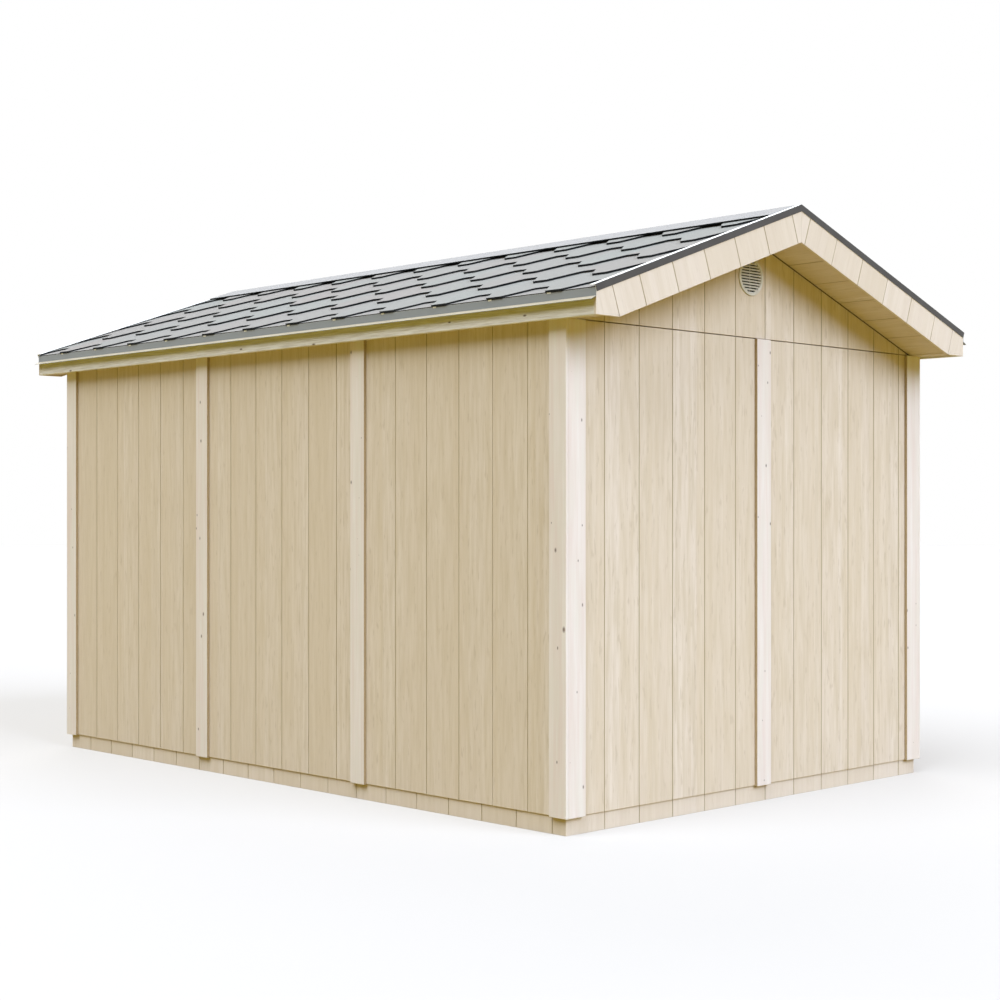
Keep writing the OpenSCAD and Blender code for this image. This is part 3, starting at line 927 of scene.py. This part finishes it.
def add_ring(bm, outer_r, inner_r, front, depth, ease):
    """A ring turned from a square section, with the edges of its front face eased."""
    ring = bmesh.new()
    corners = [ring.verts.new((r, y, 0)) for r, y in (
        (inner_r, depth - front), (inner_r, -front), (outer_r, -front), (outer_r, depth - front))]
    section = [ring.edges.new(pair) for pair in zip(corners, corners[1:] + corners[:1])]
    bmesh.ops.spin(ring, geom=section, cent=(0, 0, 0), axis=(0, 1, 0),
                   angle=math.tau, steps=64, use_merge=True)
    rims = [e for e in ring.edges if all(abs(v.co.y + front) < 1e-6 for v in e.verts)
            and abs(e.verts[0].co.length - e.verts[1].co.length) < 1e-6]
    bmesh.ops.bevel(ring, geom=rims, offset=ease, offset_type="OFFSET", segments=3,
                    profile=0.5, affect="EDGES", material=-1)
    join(bm, ring)


plate = bmesh.new()
add_disc(plate, rim_in_r + RIM_EASE, PLATE_T, PLATE_T)
heights = [(i - (SLOT_N - 1) / 2) * SLOT_PITCH for i in range(SLOT_N)]
slots = bmesh.new()
for height in heights:
    half_w = math.sqrt(SLOT_R ** 2 - height ** 2)
    slot = bmesh.new()
    add_block(slot, (-half_w, -RIM_T, height - SLOT_H / 2), (half_w, RIM_T, height + SLOT_H / 2))
    ends = [e for e in slot.edges if abs(e.verts[0].co.y - e.verts[1].co.y) > RIM_T]
    bmesh.ops.bevel(slot, geom=ends, offset=SLOT_ROUND, offset_type="OFFSET", segments=5,
                    profile=0.5, affect="EDGES", material=-1)
    join(slots, slot)
saw_out(plate, slots)

vent_plastic = [moulded_plastic("moulded_plastic_off_white"),
                insect_screen("black_insect_screen")]
bm = bmesh.new()
for end in ("front", "back"):
    vent = plate.copy()
    for height in heights[:-1]:
        middle = height + SLOT_PITCH / 2
        half_w = math.sqrt(SLOT_R ** 2 - middle ** 2)
        blade = add_block(vent, (-half_w, 0, -BLADE_T / 2), (half_w, BLADE_DEPTH, BLADE_T / 2))
        bmesh.ops.transform(vent, verts=blade, matrix=Matrix.Translation((0, 0, middle))
                            @ Matrix.Rotation(BLADE_TILT, 4, "X"))
    add_block(vent, (-BRACE_W / 2, PLATE_T, -SLOT_R), (BRACE_W / 2, 2 * PLATE_T, SLOT_R))
    add_ring(vent, vent_r, rim_in_r, RIM_T, RIM_T, RIM_EASE)
    add_ring(vent, hole_r, hole_r - SLEEVE_T, 0, BLADE_DEPTH + PLATE_T, SLEEVE_T / 4)
    screen = add_disc(vent, hole_r - SLEEVE_T / 2, -BLADE_DEPTH, PLATE_T / 2)
    for face in {f for v in screen for f in v.link_faces}:
        face.material_index = 1
    vent.transform(WALLS[end] @ Matrix.Translation((vent_x, -gable_high.y, vent_z)))
    join(bm, vent)
plate.free()
make_piece("gable_vent_mouldings", bm, vent_plastic, "vent_plastic", "gable_vents")


# ---------------------------------------------------------------------------------------------
# Studio: a pale floor, a soft sky all round and three broad soft lamps.
# ---------------------------------------------------------------------------------------------

FLOOR_R = 60.0
bm = bmesh.new()
bmesh.ops.create_circle(bm, cap_ends=True, segments=64, radius=FLOOR_R)
mesh = bpy.data.meshes.new("studio_floor")
bm.to_mesh(mesh)
bm.free()
floor = bpy.data.objects.new("studio_floor", mesh)
bpy.context.scene.collection.objects.link(floor)
floor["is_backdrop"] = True

# The floor is pale to look at, and throws little light back up, most of it warm
PAINT, BOUNCE, LIFT = (0.416, 0.393, 0.366, 1), (0.30, 0.21, 0.012, 1), 0.30


def seen_by_eye(tree):
    """1 for what the camera sees, straight or in metal and glass, and 0 for other light."""
    rays = add_node(tree, "LightPath", {}).outputs
    seen = add_node(tree, "Math", {0: rays["Is Camera Ray"], 1: rays["Is Glossy Ray"]},
                    operation="MAXIMUM").outputs[0]
    return add_node(tree, "Math", {0: seen, 1: rays["Is Transmission Ray"]},
                    operation="MAXIMUM").outputs[0]


material, tree, place = start_material("painted_studio_floor")
seen = seen_by_eye(tree)
paint = add_node(tree, "BsdfDiffuse", {"Color": blend(tree, seen, BOUNCE, PAINT)})
lift = add_node(tree, "Math", {0: seen, 1: LIFT}, operation="MULTIPLY").outputs[0]
glow = add_node(tree, "Emission", {"Color": (1, 1, 1, 1), "Strength": lift})
end_material(tree, add_node(tree, "AddShader", {0: paint.outputs[0], 1: glow.outputs[0]}))
floor.data.materials.append(material)

# The sky is dim and warm at the horizon, and brighter and white overhead
SKY_LOW, SKY_HIGH = (0.09, 0.07, 0.02, 1), (0.60, 0.60, 0.60, 1)
world = bpy.data.worlds.new("studio_sky")
world.use_nodes = True
world.node_tree.nodes.clear()
tree = world.node_tree
seen = seen_by_eye(tree)
toward = add_node(tree, "TexCoord", {}).outputs["Generated"]
height = add_node(tree, "SeparateXYZ", {"Vector": toward}).outputs["Z"]
gradient = blend(tree, between(tree, height, 0.4, 1.0), SKY_LOW, SKY_HIGH)
colour = blend(tree, seen, gradient, (1, 1, 1, 1))
sky = add_node(tree, "Background", {"Color": colour, "Strength": 1.0})
add_node(tree, "OutputWorld", {"Surface": sky.outputs[0]})
bpy.context.scene.world = world


def add_sun(name, strength, colour, azimuth, elevation, spread):
    """A broad soft lamp, from an azimuth (0 in front, 90 on the right) and an elevation."""
    lamp = bpy.data.lights.new(name, "SUN")
    lamp.energy, lamp.color, lamp.angle = strength, linear(colour)[:3], math.radians(spread)
    holder = bpy.data.objects.new(name, lamp)
    holder.rotation_euler = (math.radians(90 - elevation), 0, math.radians(azimuth))
    bpy.context.scene.collection.objects.link(holder)


add_sun("key_lamp", 3.49, "#dae7ff", 8, 32, 40)
add_sun("side_lamp", 3.56, "#eaf3ff", -80, 57, 50)
add_sun("back_lamp", 1.0, "#ffffff", 140, 35, 40)

# The camera looks level, from 1.25 m above the ground, at the front left corner
camera = bpy.data.objects.new("camera", bpy.data.cameras.new("camera"))
camera.location = (-6.0484, -6.6766, 1.2514)
camera.rotation_euler = (math.radians(90), 0, math.radians(-45.034))
camera.data.lens = 63.676
camera.data.shift_x, camera.data.shift_y = -0.0594, 0.0129
bpy.context.scene.collection.objects.link(camera)
bpy.context.scene.camera = camera
bpy.context.scene.view_settings.view_transform = "Standard"

low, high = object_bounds()
